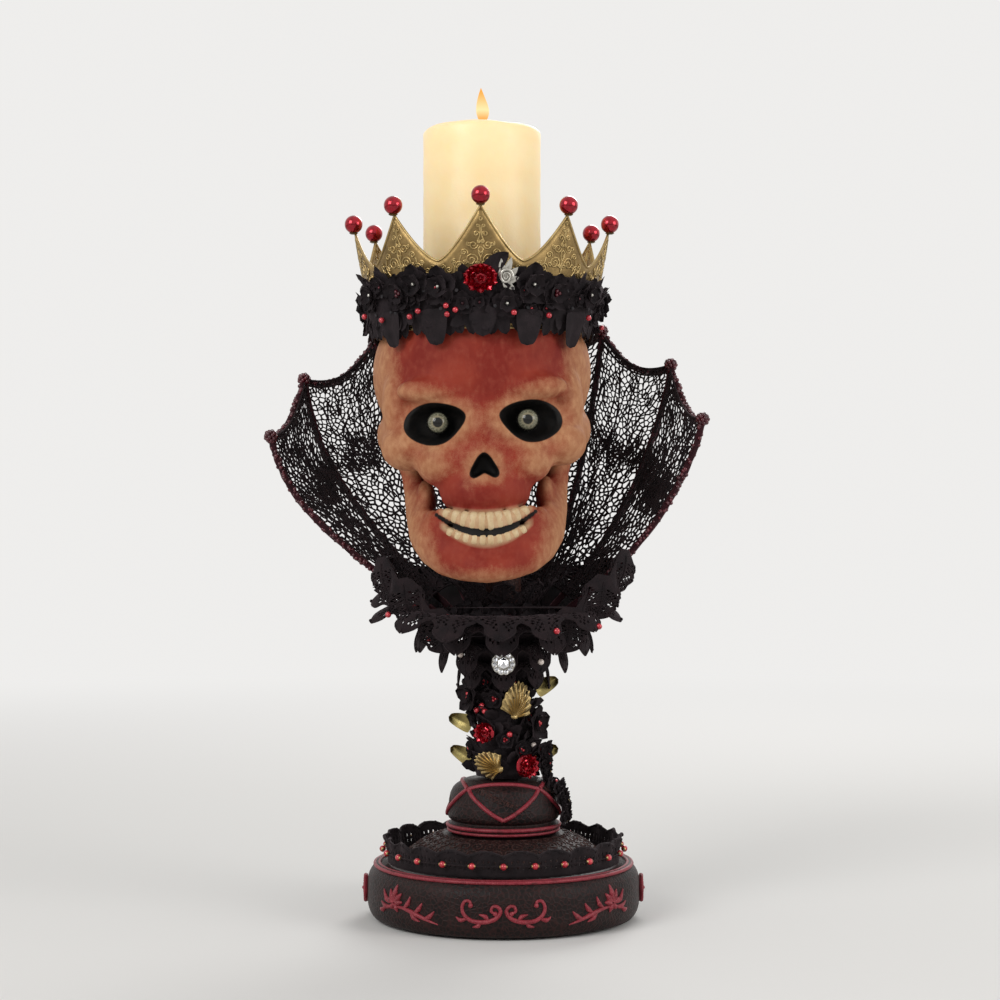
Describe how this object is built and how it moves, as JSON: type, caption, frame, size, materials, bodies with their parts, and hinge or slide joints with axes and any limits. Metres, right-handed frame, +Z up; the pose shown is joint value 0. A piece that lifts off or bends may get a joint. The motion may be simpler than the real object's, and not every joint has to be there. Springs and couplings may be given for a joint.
{
  "type": "skull candle holder",
  "caption": "Free-standing pedestal candle holder: round base, dressed stem, standing lace collar, crowned skull, and a pillar candle in a tray inside the crown.",
  "frame": {"origin": "centre of the base's felt pad, on the surface it stands on", "axes": "+Z up the stem, -Y towards the front, the side that the skull faces, +X to the viewer's right"},
  "size_m": [0.2926, 0.2354, 0.5196],
  "materials": {
    "felt": "matte felt",
    "black_resin": "black paint on cast resin, reliefs brushed with dark red",
    "red_paint": "dark red enamel with a little wear",
    "steel": "zinc plated",
    "black_cloth": "black velvet and braid",
    "black_lace": "matte black thread",
    "red_cord": "dark red beaded cord",
    "red_metal": "glossy metallic red",
    "antique_gold": "antique gold with dark hollows",
    "skull_paint": "dusty brick red brushed over tan",
    "eye_glass": "clear glass over a grey green iris",
    "crystal": "cut crystal on a foil back",
    "wax": "satin ivory wax",
    "wick": "charred cotton"
  },
  "bodies": {
    "root": {"felt_pad": "felt", "base": "black_resin", "medallion_left": "red_paint", "medallion_right": "red_paint", "base_ruffle": "black_cloth", "base_bead_string": "red_metal", "pedestal": "black_resin", "pedestal_strand": "black_cloth", "tie_rod": "steel", "tie_washer": "steel", "tie_nut": "steel", "stem": "black_resin", "stem_garland": "black_cloth", "stem_flower_1": "black_cloth", "stem_flower_2": "black_cloth", "stem_flower_3": "black_cloth", "gold_petal_1": "antique_gold", "gold_petal_2": "antique_gold", "gold_petal_3": "antique_gold", "gold_petal_4": "antique_gold", "gold_shell_1": "antique_gold", "gold_shell_2": "antique_gold", "red_rosette_1": "red_metal", "red_rosette_2": "red_metal", "neck_ruff_1": "black_lace", "neck_ruff_2": "black_lace", "neck_ruff_3": "black_lace", "neck_ruff_4": "black_lace", "neck_ruff_inner": "black_lace", "brooch": "crystal", "brooch_stone": "crystal", "collar_frame": "red_cord", "collar_lace": "black_lace", "skull": "skull_paint", "glass_eye_left": "eye_glass", "glass_eye_right": "eye_glass", "candle_tray": "antique_gold", "crown": "antique_gold", "crown_ball_1": "red_metal", "crown_ball_2": "red_metal", "crown_ball_3": "red_metal", "crown_ball_4": "red_metal", "crown_ball_5": "red_metal", "crown_ball_6": "red_metal", "crown_ball_7": "red_metal", "crown_ball_8": "red_metal", "crown_ball_9": "red_metal", "crown_wreath": "black_cloth", "wreath_flower_1": "black_cloth", "wreath_flower_2": "black_cloth", "wreath_flower_3": "black_cloth", "wreath_flower_4": "black_cloth", "wreath_flower_5": "black_cloth", "wreath_leaf_1": "black_cloth", "wreath_leaf_2": "black_cloth", "wreath_leaf_3": "black_cloth", "wreath_leaf_4": "black_cloth", "crown_rosette": "red_metal", "candle": "wax", "wick": "wick"}
  },
  "joints": []
}
